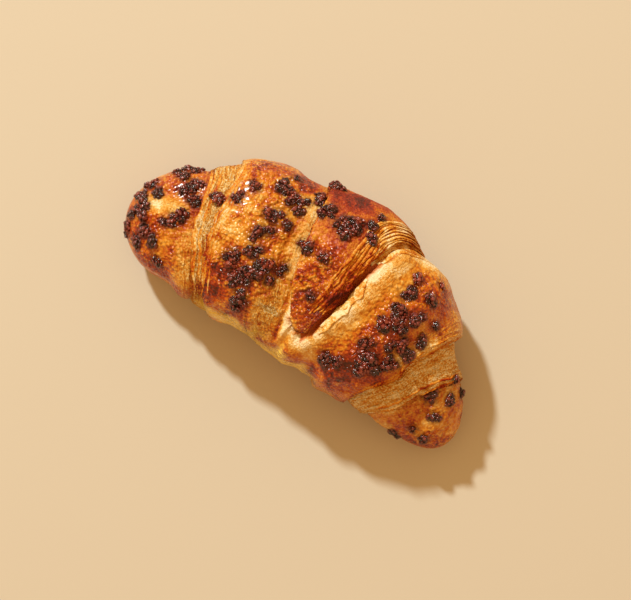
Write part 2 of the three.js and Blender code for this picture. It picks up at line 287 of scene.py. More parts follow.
def crust_at(along, roll):
    """Points of the crust, in millimetres, and what lies there. roll is in degrees from the top."""
    share = along / HALF_LENGTH
    bend = np.where(share < 0, *BENDS)
    lean = -2 * bend * share / HALF_LENGTH
    lean_length = np.hypot(1, lean)
    width = through(HALF_WIDTHS, share)
    angle = np.radians(roll)
    a = np.abs(np.sin(angle)) / width
    b = np.abs(np.cos(angle)) / (HEIGHT_SHARE * width)
    spindle = (a**PLUMP + b**PLUMP) ** (-1 / PLUMP)
    closing = np.sqrt(np.maximum(1 - np.abs(share) ** END_BLUNTNESS, 0))
    hoop = USUAL_RADIUS * np.stack([np.cos(angle), np.sin(angle)])  # a place round the roll
    bare = np.stack([along, *(hoop * spindle / USUAL_RADIUS)], axis=1)

    height = np.zeros_like(along)
    for swell, along_waves, round_waves, start in SWELLS:
        height += swell * np.sin(along_waves * along + round_waves * angle + start)
    for middle, facing, length, breadth, bulge in BULGES:
        off = (roll - facing + 180) % 360 - 180
        height += bulge * hump(along, middle, length) * hump(off, 0, breadth)
    shift = np.zeros((2, len(along)))
    wraps = []
    for wrap in range(WRAPS):
        lowered, pulled, edge = step_of(wrap, along, roll - TIP_ROLL, spindle)
        height -= lowered
        shift += pulled
        wraps.append(edge)

    flap, arm, strip = (wrap["beyond"] for wrap in wraps)
    right_side = wraps[0]["right"]
    on_top = form(roll, ON_TOP)
    height -= form(flap, VALLEY) * (1 - right_side) * on_top
    height += form(flap, CREST) * right_side * on_top
    fold_at = along - FOLD_PLACE + FOLD_LEAN * (roll - FOLD_ROLL)
    fold = between(roll, *FOLD_STARTS) * between(roll, *FOLD_ENDS) * between(flap, 0, 1.5)
    height += fold * (form(fold_at, FOLD_RIDGE) - form(fold_at, FOLD_CREASE))
    fold_face = fold * hump(fold_at, 0, FOLD_FACE)

    # The layers run along the nearest edge. On a strip they pass from the arm's edge to its own.
    leafy, flaky_tip, flaky_arm, flaky_front = flakiness(along, roll, wraps, fold_face)
    outward_share = np.clip(arm / np.maximum(arm - strip, 1), 0, 1)
    grain = arm * (1 - outward_share) + (strip + STRIP_WIDTH) * outward_share + 30
    grain = np.where(np.abs(flap) < np.minimum(np.abs(arm), np.abs(strip)), flap, grain)
    wander = np.stack([grain * WANDER_ACROSS, *(hoop * WANDER_ROUND)], axis=1)
    leaf = (grain + uneven(wander, TERRACE_WANDER)) / LEAF
    unbroken = smooth(TERRACE_BREAKS[0] + lumps(wander + 20, TERRACE_BREAKS[1]))
    height += TERRACE * leafy * (leaf - np.floor(leaf) - 0.5) * unbroken
    streaks = np.stack([grain, *(hoop * STREAK_ROUND)], axis=1)
    height += (STREAKS[0] + STREAKS[1] * leafy) * lumps(streaks, *STREAK_SIZE)
    height += uneven(bare, LUMPS[0]) + uneven(bare + 50, LUMPS[1])
    blistered = smooth(1 - leafy * 1.2) * between(np.abs(roll), *BLISTER_ROLLS)
    blisters = np.abs(uneven(bare + 90, BLISTERS[0])) + np.abs(uneven(bare + 140, BLISTERS[1]))
    height += blistered * blisters

    radius = closing * (spindle + height)
    along = along + closing * shift[0]
    angle = angle + closing * shift[1] / np.maximum(spindle, 1)
    level = SUNK * HEIGHT_SHARE * width
    spine = np.stack([along, -bend * (along / HALF_LENGTH) ** 2, level], axis=1)
    forward = np.stack([1 / lean_length, lean / lean_length, np.zeros_like(lean)], axis=1)
    beside = np.stack([-lean / lean_length, 1 / lean_length, np.zeros_like(lean)])
    up = np.array([[0], [0], [1]])
    outward = (beside * np.sin(angle) + up * np.cos(angle)).T
    sideways = (beside * np.cos(angle) - up * np.sin(angle)).T
    point = spine + outward * radius[:, None] + (*CENTRE, 0)
    point[:, 2] = np.maximum(point[:, 2], 0)
    return {
        "point": point, "outward": outward, "forward": forward, "sideways": sideways,
        "wraps": wraps, "fold": fold, "fold_at": fold_at, "fold_face": fold_face,
        "leafy": leafy, "flaky_tip": flaky_tip, "flaky_arm": flaky_arm, "flaky_front": flaky_front,
        "grain": grain, "hoop": hoop,
    }


# The mesh: a sphere whose poles become the two ends. Its rings crowd at the seams and at the ends.
STEPS_ALONG, STEPS_ROUND = 396, 250
SEAMS = (-54, -47.5, -11, 12.5, 49.5, 60.3)
SEAM_CROWDING, SEAM_REACH = 2.2, 3.0
END_CROWDING = 0.3
TOP_CROWDING = 0.4
SAMPLES = 4001

sphere = bmesh.new()
bmesh.ops.create_uvsphere(sphere, u_segments=STEPS_ROUND, v_segments=STEPS_ALONG, radius=1)
crust_mesh = bpy.data.meshes.new("crust")
sphere.to_mesh(crust_mesh)
sphere.free()
ball = np.empty(len(crust_mesh.vertices) * 3, np.float32)
crust_mesh.vertices.foreach_get("co", ball)
ball = ball.reshape(-1, 3).astype(float)

shares = np.sin(np.linspace(-math.pi / 2, math.pi / 2, SAMPLES))
crowding = 1 + END_CROWDING / np.sqrt(1 - np.abs(shares) + 1e-4)
for seam in SEAMS:
    crowding += SEAM_CROWDING * hump(shares * HALF_LENGTH, seam, SEAM_REACH)
steps = np.cumsum(np.append(0, np.diff(shares) * (crowding[1:] + crowding[:-1]) / 2))
level = np.arcsin(np.clip(ball[:, 2], -1, 1)) / math.pi + 0.5
along = HALF_LENGTH * np.interp(level, steps / steps[-1], shares)
turn = np.arctan2(ball[:, 0], ball[:, 1])
roll = np.degrees(turn - TOP_CROWDING * np.sin(turn))
baked = crust_at(along, roll)
crust_mesh.vertices.foreach_set("co", (baked["point"] * MM).astype(np.float32).ravel())
crust_mesh.update()
crust_mesh.shade_smooth()

crust = bpy.data.objects.new("crust", crust_mesh)
bpy.context.collection.objects.link(crust)


def give(mesh, name, values):
    """Stores one number for each vertex, for the material to read."""
    mesh.attributes.new(name, "FLOAT", "POINT").data.foreach_set("value", values.astype(np.float32))


# How the oven coloured it. toast runs from 0, raw straw, to 1, nearly burnt.
FLAP_TOAST, ARM_TOAST, STRIP_TOAST, TIP_TOAST, FOOT_TOAST = 0.58, 0.59, 0.26, 0.57, 0.5
FLAP_TIP_TOAST, FLAP_TIP_AT, FLAP_TIP_REACH = 0.2, 7, 11
FLAP_EDGE_TOAST = (0.02, -0.25)  # right and left
LEFT_ARM, RIGHT_STRIP, RIGHT_TIP = -0.05, -0.08, -0.07  # the two halves baked a little apart
CREST_PALE, CREST_PALE_REACH, VALLEY_PALE = 0.64, (2, 9.5), 0.3
FLAKY_PALE = {"flaky_tip": 0.24, "flaky_arm": 0.34, "flaky_front": 0.18}
# The fold's crease is painted darker as painted shade, and its ridge is paler. Beyond the crease the
# valley's paleness is taken away, which is painted shade too.
PAINTED_FOLD_SHADE, FOLD_PALE, FOLD_SHADE = (0.3, -3.4, 1.0), (0.26, 0, 2.6), (-2.6, -3.8)
BLUR = 0.8  # half the width over which two wraps' colours meet

plan = baked["point"][:, :2]
flap, arm, strip = (wrap["beyond"] for wrap in baked["wraps"])
right_side = baked["wraps"][0]["right"]
leafy = baked["leafy"]
on_flap = between(flap, BLUR, -BLUR)
on_arm = (1 - on_flap) * between(arm, BLUR, -BLUR)
on_strip = (1 - on_flap - on_arm) * between(strip, 1, -1)
on_tip = 1 - on_flap - on_arm - on_strip
crest = past(flap, *CREST_PALE_REACH) * right_side * (1 - on_flap)
valley = past(flap, *VALLEY_REACH) * (1 - right_side) * (1 - on_flap)
fold, fold_at = baked["fold"], baked["fold_at"]
# Painted shade: beside the fold's crease the valley loses its paleness
valley *= 1 - 0.9 * fold * between(fold_at, *FOLD_SHADE)
from_tip = np.hypot(along - FLAP_TIP_AT, (roll - TIP_ROLL) * 0.45)
edge_toast = FLAP_EDGE_TOAST[0] * hump(flap, 0, 5) * right_side
edge_toast += FLAP_EDGE_TOAST[1] * hump(flap, 0, 2) * (1 - right_side)
toast = on_flap * (FLAP_TOAST + FLAP_TIP_TOAST * hump(from_tip, 0, FLAP_TIP_REACH) + edge_toast)
toast += on_arm * (ARM_TOAST + LEFT_ARM * (along < 0) - CREST_PALE * crest - VALLEY_PALE * valley)
toast += on_strip * (STRIP_TOAST + RIGHT_STRIP * (along > 0))
toast += on_tip * (TIP_TOAST + RIGHT_TIP * (along > 0))
toast -= FLAKY_PALE["flaky_tip"] * on_tip * baked["flaky_tip"]
toast -= FLAKY_PALE["flaky_arm"] * on_arm * baked["flaky_arm"]
toast -= FLAKY_PALE["flaky_front"] * baked["flaky_front"]
# Painted shade: the fold's crease is darker, and its ridge paler
toast += fold * (form(fold_at, PAINTED_FOLD_SHADE) - form(fold_at, FOLD_PALE))

# Patches that the oven or the glaze made lighter or darker: x, y, half length, half breadth, turn
# and change
PATCHES = [
    (-69.5, -11, 8.5, 4.5, 23, -0.5), (-40, 1, 12, 8, 60, -0.12), (-36, -30, 9, 5, 30, 0.18),
    (-36, 14, 9, 7, 60, -0.05), (-22, 30, 10, 5, 10, 0.3), (-12, -24, 7, 7, 20, -0.12),
    (3, -24, 10, 6, 10, -0.2), (-30, -30, 14, 4, 10, 0.14), (12, 32, 12, 5, -30, -0.14),
    (31, -24, 13, 6, 40, 0.28), (46, -20, 8, 4, 110, 0.24), (38, 6, 9, 7, 110, 0.1),
    (52, 12, 8, 4, 120, 0.16), (45, -26, 9, 3, 40, -0.1), (68, -16, 9, 6, 100, 0.02),
    (66, -34, 8, 3, -20, 0.14), (-72, -24, 7, 4, 120, 0.16), (-50, -14, 9, 3, 80, -0.04),
    (45, -9, 4, 2, 60, -0.3), (2, 22, 10, 7, 80, 0.12), (10, 26, 9, 5, 60, 0.12),
    (-4, 35, 12, 6, 0, 0.22), (-66, -16, 9, 6, 60, 0.1), (-35, -22, 9, 7, 60, 0.1),
    (-4, -6, 9, 3, 70, -0.06), (8, -14, 8, 3, 70, 0.1), (36, 18, 8, 5, 60, -0.06),
    (28, 4, 8, 5, 90, -0.08), (4, -30, 8, 5, 0, 0.2), (72, -22, 8, 7, 60, -0.05),
    (24, 25, 9, 6, 30, 0.14),
]
UNGLAZED = 0.2  # a patch that is paler than this has little glaze
dull = np.zeros_like(toast)
for x, y, length, breadth, tilt, change in PATCHES:
    tilt = math.radians(tilt)
    away = plan - (x, y)
    u = (away @ (math.cos(tilt), math.sin(tilt))) / length
    v = (away @ (-math.sin(tilt), math.cos(tilt))) / breadth
    patch = np.exp(-((u * u + v * v) ** 1.5)) * (np.abs(roll) < 95)
    toast += change * patch
    dull += max(-change - UNGLAZED, 0) * patch

# The sides and the foot baked against other dough and the tray. On the hollow side, a ragged rim
# of pale, buttery dough shows above the foot.
BELOW, BESIDE_TRAY, TRAY_TOAST = (70, 104), (120, 150), 0.06  # degrees of roll
BURNT_SIDE = (0.24, 36, 13)
RIM_TOP, RIM_FOOT, RIM_LEFT, RIM_RIGHT = (-68, -78), (-108, -86), (-58, -36), (42, 20)
RAG_SIZE, RAG_TOP, RAG_FOOT, RAG_ENDS = (7, 3), 12, 20, 10
low = between(np.abs(roll), *BELOW)
foot_toast = FOOT_TOAST + TRAY_TOAST * between(np.abs(roll), *BESIDE_TRAY)
foot_toast += form(along, BURNT_SIDE) * (roll < 0)
toast = toast * (1 - low) + low * foot_toast
rag = lumps(baked["point"] + 300, *RAG_SIZE)
rim = between(roll - RAG_TOP * rag, *RIM_TOP) * between(roll + RAG_FOOT * rag, *RIM_FOOT)
rim *= between(along + RAG_ENDS * rag, *RIM_LEFT) * between(along + RAG_ENDS * rag, *RIM_RIGHT)

# Painted shade: the crevices are painted darker and red-brown, as the shade that falls in them, and
# the warm tone stands in for light bounced inside them. The crevice beside the flap is painted so
# from side to side, from a little in front of the flap's tip.
GAP_PLACE, GAP_REACH = 0.8, 1.1
CREVICE_NEAR, CREVICE_FAR, CREVICE_DEPTHS, CREVICE_FRONT = (0, 0.8), (5.3, 4.4), (1.5, 4.5), 6
flap_depth = baked["wraps"][0]["depth"]
crevice_shade = sum(
    hump(wrap["beyond"], GAP_PLACE, GAP_REACH) * smooth(wrap["depth"] / DEEP) for wrap in baked["wraps"]
)
crevice = between(flap, *CREVICE_NEAR) * between(flap, *CREVICE_FAR) * between(flap_depth, *CREVICE_DEPTHS)
crevice_shade = np.maximum(crevice_shade, crevice * right_side * (roll > TIP_ROLL - CREVICE_FRONT))

# Where the egg glaze lies: on the wraps' tops, and hardly on what was covered while they rose
BARE_CREST, BARE_VALLEY, BARE_FOOT, BARE_BACK, BARE_BACK_ROLLS = 0.95, 0.7, 0.97, 0.75, (15, 40)
glaze = on_flap + on_arm + 0.8 * on_tip
glaze *= (1 - BARE_CREST * crest) * (1 - BARE_VALLEY * valley) * (1 - BARE_FOOT * low)
glaze *= np.clip(1 - 4 * dull, 0, 1) * (1 - BARE_BACK * on_flap * between(roll, *BARE_BACK_ROLLS))
blisters = glaze * (1 - 0.3 * on_arm * (along > 0)) * (1 - 0.6 * leafy) * (1 - 0.8 * baked["fold_face"])
for name, values in (
    ("toast", toast), ("glaze", glaze * (1 - 0.6 * leafy)), ("blisters", blisters), ("leafy", leafy),
    ("rim", rim), ("crevice_shade", crevice_shade),
):
    give(crust_mesh, name, np.clip(values, 0, 1))
lines = np.stack([baked["grain"], *(baked["hoop"])], axis=1).astype(np.float32)
crust_mesh.attributes.new("lines", "FLOAT_VECTOR", "POINT").data.foreach_set("vector", lines.ravel())


def tone(*screen):
    """A colour given as a screen shows it, 0 to 255, as the linear one that a shader needs."""
    shares = [value / 255 for value in screen]
    return tuple(s / 12.92 if s < 0.04 else ((s + 0.055) / 1.055) ** 2.4 for s in shares) + (1,)


def add(tree, kind, inputs=None, **settings):
    node = tree.nodes.new("ShaderNode" + kind)
    for name, value in settings.items():
        setattr(node, name, value)
    for socket, value in (inputs or {}).items():
        if isinstance(value, bpy.types.NodeSocket):
            tree.links.new(value, node.inputs[socket])
        else:
            node.inputs[socket].default_value = value
    return node


def maths(tree, operation, a, b=0.0, c=0.0, clamp=False):
    return add(tree, "Math", {0: a, 1: b, 2: c}, operation=operation, use_clamp=clamp).outputs[0]


def times(tree, a, b):
    return maths(tree, "MULTIPLY", a, b)


def less(tree, a, b):
    return maths(tree, "SUBTRACT", a, b)


def more(tree, total, value, weight):
    """The total, and the value at that weight."""
    return maths(tree, "MULTIPLY_ADD", value, weight, total)


def stretch(tree, value, gain, base):
    """The value at that gain, from that base, held between 0 and 1."""
    return maths(tree, "MULTIPLY_ADD", value, gain, base, clamp=True)


def blend(tree, factor, a, b):
    return add(tree, "Mix", {0: factor, 6: a, 7: b}, data_type="RGBA", blend_type="MIX").outputs[2]


def mottle(tree, where, scale, detail=3.0, rough=0.55, warp=0.0):
    """Noise from 0 to 1, at so many lumps in a metre."""
    settings = {"Vector": where, "Scale": scale, "Detail": detail, "Roughness": rough, "Distortion": warp}
    return add(tree, "TexNoise", settings).outputs["Fac"]


def cells(tree, where, scale, smoothness=0.35):
    """How far each place is from the middle of its cell, at so many cells in a metre."""
    settings = {"Vector": where, "Scale": scale, "Smoothness": smoothness}
    return add(tree, "TexVoronoi", settings, feature="SMOOTH_F1").outputs["Distance"]


def reading(tree, name, kind="Fac"):
    return add(tree, "Attribute", attribute_name=name).outputs[kind]


def relief(tree, height, distance):
    return add(tree, "Bump", {"Height": height, "Strength": 1.0, "Distance": distance}).outputs[0]


def ramp(tree, value, stops):
    node = add(tree, "ValToRGB", {"Fac": value})
    marks = node.color_ramp.elements
    while len(marks) < len(stops):
        marks.new(0.5)
    for mark, (position, colour) in zip(marks, stops):
        mark.position, mark.color = position, colour
    return node.outputs["Color"]


def new_group(name, inputs, outputs):
    """An empty node group, with its input and output sockets."""
    group = bpy.data.node_groups.new(name, "ShaderNodeTree")
    for label, kind, value in inputs:
        group.interface.new_socket(label, in_out="INPUT", socket_type=kind).default_value = value
    for label, kind in outputs:
        group.interface.new_socket(label, in_out="OUTPUT", socket_type=kind)
    return group, group.nodes.new("NodeGroupInput").outputs, group.nodes.new("NodeGroupOutput").inputs


def use(tree, group, inputs):
    node = tree.nodes.new("ShaderNodeGroup")
    node.node_tree = group
    for socket, value in inputs.items():
        if isinstance(value, bpy.types.NodeSocket):
            tree.links.new(value, node.inputs[socket])
        else:
            node.inputs[socket].default_value = value
    return node.outputs


def new_paint(name):
    """A material without nodes, and its node tree."""
    paint = bpy.data.materials.new(name)
    paint.use_nodes = True
    paint.node_tree.nodes.clear()
    return paint, paint.node_tree


def cover(mesh, paint, inputs):
    """Gives the paint a shader with those inputs, and the mesh the paint."""
    shader = add(paint.node_tree, "BsdfPrincipled", inputs)
    paint.node_tree.links.new(shader.outputs[0], add(paint.node_tree, "OutputMaterial").inputs[0])
    mesh.materials.append(paint)


# Baked dough: its colour by how far it is toasted, and the fine pores and specks that every baked
# face has
BAKED_TONES = [
    (0.0, tone(244, 220, 172)), (0.18, tone(230, 182, 96)), (0.36, tone(213, 142, 36)),
    (0.54, tone(196, 106, 12)), (0.68, tone(170, 62, 2)), (0.82, tone(136, 32, 1)),
    (1.0, tone(78, 18, 2)),
]
dough, ins, outs = new_group(
    "baked_dough",
    [("Toast", "NodeSocketFloat", 0.5), ("Unevenness", "NodeSocketFloat", 0.3)],
    [("Color", "NodeSocketColor"), ("Pores", "NodeSocketFloat"), ("Toast", "NodeSocketFloat")],
)
place = add(dough, "TexCoord").outputs["Object"]
broad = mottle(dough, place, scale=120, detail=2, rough=0.5, warp=0.6)
middling = mottle(dough, place, scale=300, detail=4, rough=0.62)
fine = mottle(dough, place, scale=1200, detail=2, rough=0.6)
swing = 0.0
for pattern, weight in ((broad, 1.3), (middling, 0.4), (fine, 0.8)):
    swing = maths(dough, "ADD", swing, more(dough, -weight / 2, pattern, weight))
baked_toast = maths(dough, "MULTIPLY_ADD", swing, ins["Unevenness"], ins["Toast"], clamp=True)
pores = maths(dough, "ADD", times(dough, fine, 0.6), times(dough, middling, 0.4))
dough.links.new(ramp(dough, baked_toast, BAKED_TONES), outs["Color"])
dough.links.new(pores, outs["Pores"])
dough.links.new(baked_toast, outs["Toast"])

# The crust's own paint. Egg glaze beads up and wrinkles as it dries, so it is blistered, and
# glossy where it is thick. Along the edges the layers show as fine lines instead.
BUTTER_PALE = tone(244, 210, 86)
# Painted shade for the crevices, in a warm red-brown that stands in for light bounced inside them
CREVICE_SHADE_BROWN = tone(186, 66, 4)
MELTED = tone(74, 24, 12)
# How much each pattern changes how toasted the dough looks, and how it stands out. The crevices' share
# darkens them as painted shade.
LINES_TOAST_AND_SHADE, CREVICE_SHADE_TOAST, WRINKLES_TOAST, BEADS_TOAST = -1.2, 0.3, 0.9, -0.4
GLAZE_TOAST, GRAIN_TOAST = 0.08, 1.1
LINES_RELIEF = 1.6
RELIEF = 0.0018

crust_paint, tree = new_paint("glazed_crust")
place = add(tree, "TexCoord").outputs["Object"]
glazed, leafy, crevice_shade = reading(tree, "glaze"), reading(tree, "leafy"), reading(tree, "crevice_shade")
stretched = {"Vector": reading(tree, "lines", "Vector"), "Scale": (1.5, 0.1, 0.1)}
leaves = mottle(tree, add(tree, "Mapping", stretched).outputs[0], scale=1.0, detail=3, rough=0.6)
leaf_lines = times(tree, less(tree, leaves, 0.5), leafy)
wrinkles = mottle(tree, place, scale=330, detail=0.6, rough=0.5, warp=1.0)
beads = less(tree, 0.6, cells(tree, place, scale=640.0))
patchy = stretch(tree, mottle(tree, place, scale=120, detail=2), gain=4.0, base=-1.5)
blistered = times(tree, reading(tree, "blisters"), more(tree, 0.4, patchy, 0.6))
beaded = times(tree, beads, blistered)
grain = times(tree, less(tree, mottle(tree, place, scale=1300, detail=1), 0.5), leafy)
# The lines' colour is partly their own and partly painted light and shade: paler on the raised leaves,
# darker in the grooves between them.
toasted = more(tree, reading(tree, "toast"), leaf_lines, LINES_TOAST_AND_SHADE)
# Painted shade: the crevices are darkened
toasted = more(tree, toasted, crevice_shade, CREVICE_SHADE_TOAST)
toasted = more(tree, toasted, times(tree, less(tree, 0.5, wrinkles), blistered), WRINKLES_TOAST)
toasted = more(tree, toasted, beaded, BEADS_TOAST)
toasted = more(tree, toasted, blistered, GLAZE_TOAST)
toasted = more(tree, toasted, grain, GRAIN_TOAST)
surface = use(tree, dough, {"Toast": toasted, "Unevenness": more(tree, 0.75, leafy, -0.3)})
# Painted shade in the crevices, red-brown for the light bounced in them
colour = blend(tree, times(tree, crevice_shade, 0.85), surface["Color"], CREVICE_SHADE_BROWN)
pale = times(tree, reading(tree, "rim"), stretch(tree, surface["Pores"], gain=-0.6, base=1.15))
colour = blend(tree, pale, colour, BUTTER_PALE)
blotches = stretch(tree, mottle(tree, place, scale=420, detail=3), gain=2.4, base=-0.7)
colour = blend(tree, times(tree, reading(tree, "halo"), blotches), colour, MELTED)

matte = maths(tree, "MAXIMUM", more(tree, 0.75, glazed, -1.0), 0.04)
height = times(tree, surface["Pores"], matte)
height = maths(tree, "ADD", height, times(tree, wrinkles, blistered))
height = maths(tree, "ADD", height, beaded)
height = more(tree, height, leaf_lines, LINES_RELIEF)
gloss = times(tree, glazed, stretch(tree, surface["Pores"], gain=-0.5, base=1.15))
cover(
    crust_mesh,
    crust_paint,
    {
        "Base Color": colour, "Roughness": maths(tree, "MAXIMUM", more(tree, 0.8, gloss, -0.85), 0.2),
        "Normal": relief(tree, height, RELIEF), "Specular IOR Level": 0.36,
        "Coat Weight": times(tree, gloss, 0.5), "Coat Roughness": 0.16, "Coat IOR": 1.4,
    },
)
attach(crust, "root")
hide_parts("croissant")

# Loose leaves. Where the layers of dough end in an edge, single leaves lifted in the oven, dried
# and turned crisp: each is a thin, ragged ribbon that grows out of the crust along the edge.
LEAF_THICK = 0.13
LEAF_ROOT, LEAF_BURIED = 1.2, 0.3  # how much of a leaf lies under the dough, and how deep
LEAF_RISE = 0.42
LEAF_STATION = 1.6  # degrees of roll from one row of a leaf's points to the next
LEAF_STEPS = 4
LEAF_SPREAD = 0.25  # the share of its row that an end may be short of
LEAF_TAPER = 12  # degrees of roll over which an end grows to its full breadth
LEAF_WANDER = (0.7, 6)
LEAF_BREADTH, LEAF_LIMITS = 0.66, (0.04, 1.3)  # shares of the row's breadth
LEAF_TEARS, LEAF_NICKS = (0.7, 7, 2), (0.14, 1.3)
LEAF_WORN, LEAF_TIP_TOAST, LEAF_BROAD_TOAST, LEAF_ROOT_TOAST = 0.18, 0.25, 0.15, -0.12
# Wrap, side, wound angles of the leaves' ends, the first leaf's place beyond the edge, the step to
# the next, how many, their breadth, how much they curl, and how toasted they are
LEAF_ROWS = [
    (0, 1, 6, 120, -6.5, 0.7, 10, 1.3, 0.02, 0.54), (0, 1, 84, 165, -7, 0.65, 19, 1.0, 0.02, 0.14),
    (0, 1, 4, 84, 5.3, 0.6, 2, 1.6, 1.2, 0.12), (0, 0, 12, 130, -0.6, 0.5, 3, 1.0, 0.1, 0.4),
    (1, 0, 330, 505, -3.5, 1.6, 4, 1.0, 0.03, 0.34), (2, 0, 690, 860, -2.5, 1.5, 4, 1.1, 0.05, 0.32),
    (1, 1, 330, 505, -2.0, 1.7, 3, 0.8, 0.03, 0.34), (2, 1, 690, 860, -2.5, 1.8, 3, 0.9, 0.05, 0.36),
]

leaf_mesh = bmesh.new()
toast_layer = leaf_mesh.verts.layers.float.new("toast")
for row, (wrap, side, first, last, start, step, count, breadth, curl, toasted) in enumerate(LEAF_ROWS):
    edge, sign = ((LEFT_EDGE, -1), (RIGHT_EDGE, 1))[side]
    for k in range(count):
        seed = 31.7 * row + 5.3 * k
        short = (last - first) * LEAF_SPREAD
        begin = first + short * (0.5 + 0.5 * noise.noise((seed, 0, 0)))
        end = last - short * (0.5 + 0.5 * noise.noise((0, seed, 0)))
        stations = int((end - begin) / LEAF_STATION)
        wound = np.linspace(begin, end, stations + 1)
        slope = slope_of(edge, wound, USUAL_RADIUS)
        slant = np.hypot(1, slope)
        way = np.stack([sign / slant, -sign * slope / slant])
        spot = np.stack([wound * 0.5, np.full_like(wound, seed), 0 * wound], axis=1)
        offset = start + step * k + uneven(spot, LEAF_WANDER)
        turned = wound - 360 * wrap + np.degrees(way[1] * offset / USUAL_RADIUS)
        root = crust_at(through(edge, wound) + way[0] * offset, turned + TIP_ROLL)
        across = root["forward"] * way[0][:, None] + root["sideways"] * way[1][:, None]
        ragged = LEAF_BREADTH + uneven(spot + 9, LEAF_TEARS) + uneven(spot + 40, LEAF_NICKS)
        ragged = np.clip(ragged, *LEAF_LIMITS)
        ragged *= smooth(np.minimum(wound - begin, end - wound) / LEAF_TAPER)
        lift = curl * (0.8 + lumps(spot + 70, 4))
        worn = LEAF_WORN * noise.noise((seed, seed, 4))
        grid = bmesh.ops.create_grid(leaf_mesh, x_segments=stations, y_segments=LEAF_STEPS, size=1)
        for vert in grid["verts"]:
            i = round((vert.co.x + 1) / 2 * stations)
            out = (vert.co.y + 1) / 2
            reach = -LEAF_ROOT + (LEAF_ROOT + breadth * ragged[i]) * out
            rise = -LEAF_BURIED + LEAF_RISE * smooth(out * 2) + lift[i] * out * out * ragged[i]
            vert.co = Vector(root["point"][i] + across[i] * reach + root["outward"][i] * rise) * MM
            crisp = LEAF_ROOT_TOAST + LEAF_TIP_TOAST * out**3 + LEAF_BROAD_TOAST * ragged[i]
            vert[toast_layer] = toasted + worn + crisp
bmesh.ops.recalc_face_normals(leaf_mesh, faces=leaf_mesh.faces)
bmesh.ops.solidify(leaf_mesh, geom=leaf_mesh.faces, thickness=LEAF_THICK * MM)
leaves_mesh = bpy.data.meshes.new("loose_leaves")
leaf_mesh.to_mesh(leaves_mesh)
leaf_mesh.free()
leaves_mesh.shade_smooth()
loose_leaves = bpy.data.objects.new("loose_leaves", leaves_mesh)
bpy.context.collection.objects.link(loose_leaves)

leaf_paint, tree = new_paint("crisp_leaf")
surface = use(tree, dough, {"Toast": reading(tree, "toast"), "Unevenness": 1.1})
cover(
    leaves_mesh,
    leaf_paint,
    {
        "Base Color": surface["Color"], "Roughness": more(tree, 0.45, surface["Pores"], 0.2),
        "Normal": relief(tree, surface["Pores"], 0.0004), "Specular IOR Level": 0.2,
    },
)
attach(loose_leaves, "root")

# The chocolate. Nuggets of baking chocolate, pressed on the raw dough in heaps and half melted in
# the oven, so they are lumpy and have stained the glaze round them. Each heap: x, y, how many
# nuggets, its length and breadth, and its turn.
HEAPS = [
    (-72, 4, 5, 8, 6, 79), (-67, 8, 2, 3, 2, 14), (-80, -7, 3, 8, 2, 69), (-80, -14, 3, 5, 4, 34),
    (-75, -9, 1, 0, 0, 0), (-77, -19, 5, 9, 5, 44), (-65, 1, 5, 9, 3, 59), (-61, -3, 3, 4, 3, 174),
    (-63, -14, 6, 11, 3, 56), (-79, -29, 3, 6, 1, 139), (-71, -25, 2, 3, 2, 154),
    (-72, -30, 2, 3, 1, 139), (-66, -26, 2, 3, 2, 169), (-59, -33, 2, 4, 2, 149),
    (-53, 3, 2, 3, 2, 164), (-43, 16, 2, 3, 2, 34), (-46, 8, 3, 5, 3, 104), (-31, 28, 1, 0, 0, 0),
    (-33, 22, 5, 7, 4, 139), (-26, 20, 5, 10, 4, 22), (-22, 17, 1, 0, 0, 0), (-30, 10, 5, 9, 4, 39),
    (-23, 10, 2, 3, 2, 34), (-31, 0, 4, 6, 3, 74), (-27, 4, 1, 0, 0, 0), (-28, -7, 3, 6, 3, 54),
    (-34, -14, 5, 7, 5, 99), (-26, -18, 9, 12, 6, 52), (-21, -10, 5, 8, 5, 74),
    (-14, -6, 2, 5, 2, 64), (-16, -13, 1, 0, 0, 0), (-22, -26, 5, 9, 4, 94), (-15, 35, 3, 5, 3, 4),
    (-18, 26, 2, 3, 1, 104), (-12, 24, 5, 7, 5, 44), (-2, 23, 9, 10, 9, 34), (5, 29, 2, 3, 2, 134),
    (7, 34, 1, 0, 0, 0), (9, 24, 2, 3, 2, 154), (-12, 7, 3, 5, 4, 44), (-3, 7, 2, 3, 2, 34),
    (1, -9, 1, 0, 0, 0), (33, 22, 1, 0, 0, 0), (43, 25, 1, 0, 0, 0), (34, 15, 3, 6, 3, 49),
    (43, 17, 2, 4, 2, 179), (35, 6, 5, 6, 5, 144), (42, 8, 4, 8, 2, 60), (38, 1, 4, 6, 5, 94),
    (32, -2, 3, 5, 3, 154), (50, 10, 1, 0, 0, 0), (49, 2, 2, 3, 3, 64), (42, -5, 5, 9, 4, 44),
    (47, -6, 3, 5, 3, 19), (31, -12, 3, 5, 3, 54), (34, -19, 7, 11, 6, 104), (39, -18, 2, 4, 3, 34),
    (43, -13, 4, 7, 4, 154), (22, -26, 6, 10, 4, 20), (70, -3, 1, 0, 0, 0), (65, -15, 3, 4, 4, 34),
    (73, -12, 2, 5, 1, 99), (78, -6, 2, 4, 1, 134), (72, -21, 2, 3, 2, 44), (67, -30, 1, 0, 0, 0),
    (63, -37, 2, 5, 2, 24), (73, -31, 1, 0, 0, 0),
]
NUGGET_RADIUS, NUGGET_SPREAD = 2.1, 0.26
NUGGET_SQUASH, SQUASH_SPREAD = (1.18, 0.95, 0.78), 0.12
NUGGET_TILT = 0.4
NUGGET_SUNK = 0.1
NUGGET_KINDS = 14
CORE, CORE_WAVES, CORE_SPREAD = 0.78, 1.4, 0.3  # sizes as shares of the nugget's radius
BEADS, BEAD_SIZE, BEAD_SPREAD = 22, 0.33, 0.45
BEADS_AT, BEADS_WAVES, BEADS_APART = 0.8, 1.1, 0.07
BEADS_DOWN = 1.5  # 2 would cover the nugget's underside too
